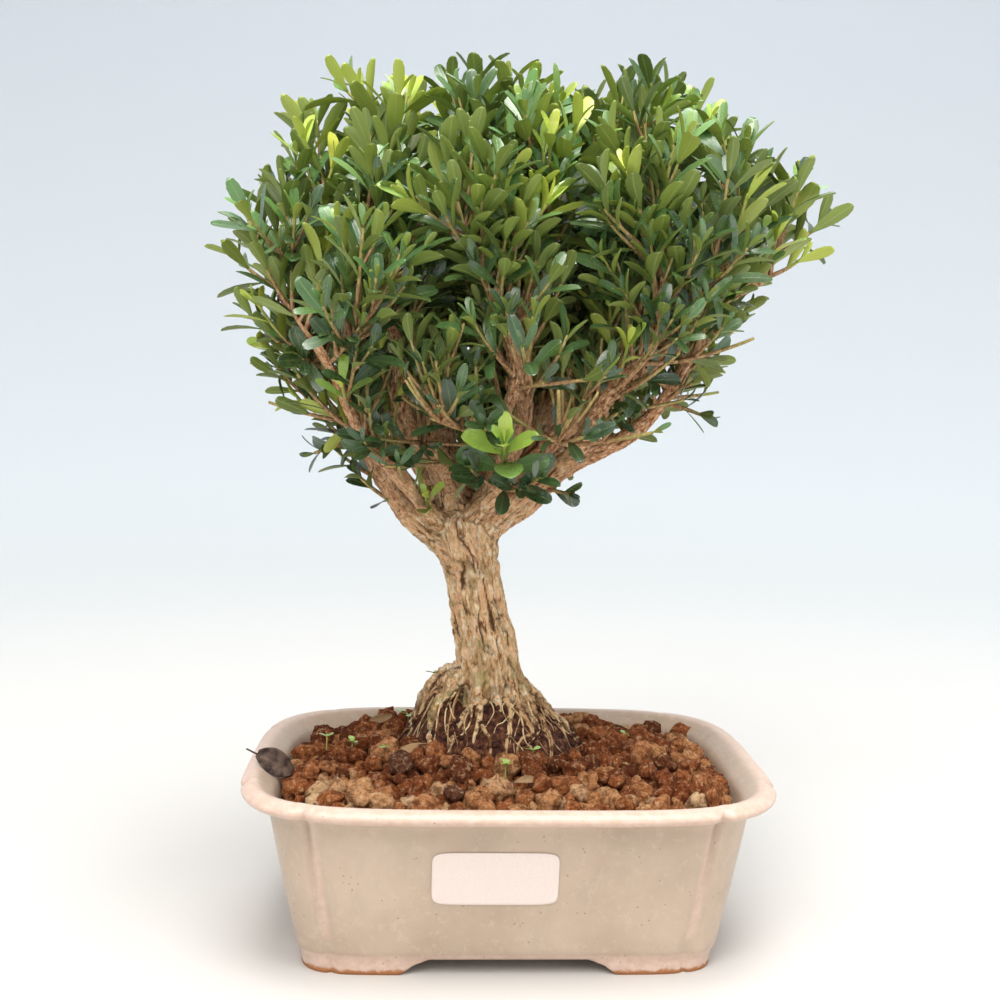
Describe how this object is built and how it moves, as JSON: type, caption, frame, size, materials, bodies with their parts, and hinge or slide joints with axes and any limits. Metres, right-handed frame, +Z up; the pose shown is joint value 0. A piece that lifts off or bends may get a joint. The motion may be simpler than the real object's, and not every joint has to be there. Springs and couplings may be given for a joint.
{
  "type": "harland boxwood bonsai",
  "caption": "Harland boxwood bonsai: a leaning ribbed trunk with a fan of boughs and a broad leafy crown, in a glazed oblong pot with cloud feet, gravel over the soil.",
  "frame": {"origin": "centre of the whole tree's width and depth, on the ground under the pot's feet", "axes": "+Z up; X along the pot's long side, +X to the right seen from the front; -Y is the front, the side with the label"},
  "size_m": [0.2434, 0.2136, 0.3459],
  "materials": {
    "glaze": "satin cream-grey glaze, finely speckled, browner where it breaks over edges",
    "screen": "dark green moulded plastic mesh",
    "compost": "dark fibrous compost; wood stands in for organic soil",
    "gravel": "rough porous volcanic granules, rust brown to tan",
    "bark": "corky, deeply fissured tan bark",
    "leaf": "leathery glossy leaf, dark green above and yellower below; wood stands in for living leaf and twig",
    "paper": "plain white satin sticker, nothing printed"
  },
  "bodies": {
    "root": {"pot": "glaze", "drain_screen_left": "screen", "drain_screen_right": "screen", "label": "paper", "root_ball": "compost", "gravel": "gravel", "trunk_and_boughs": "bark", "spray_01": "leaf", "spray_02": "leaf", "spray_03": "leaf", "spray_04": "leaf", "spray_05": "leaf", "spray_06": "leaf", "spray_07": "leaf", "spray_08": "leaf", "spray_09": "leaf", "spray_10": "leaf", "spray_11": "leaf", "spray_12": "leaf", "spray_13": "leaf", "spray_14": "leaf", "spray_15": "leaf", "spray_16": "leaf", "spray_17": "leaf", "spray_18": "leaf", "spray_19": "leaf", "spray_20": "leaf", "spray_21": "leaf", "spray_22": "leaf", "spray_23": "leaf", "spray_24": "leaf", "spray_25": "leaf", "spray_26": "leaf", "spray_27": "leaf", "spray_28": "leaf", "spray_29": "leaf", "spray_30": "leaf", "spray_31": "leaf", "spray_32": "leaf", "spray_33": "leaf", "spray_34": "leaf", "spray_35": "leaf", "spray_36": "leaf", "spray_37": "leaf", "spray_38": "leaf", "spray_39": "leaf", "spray_40": "leaf", "spray_41": "leaf", "spray_42": "leaf", "spray_43": "leaf", "spray_44": "leaf"}
  },
  "joints": []
}
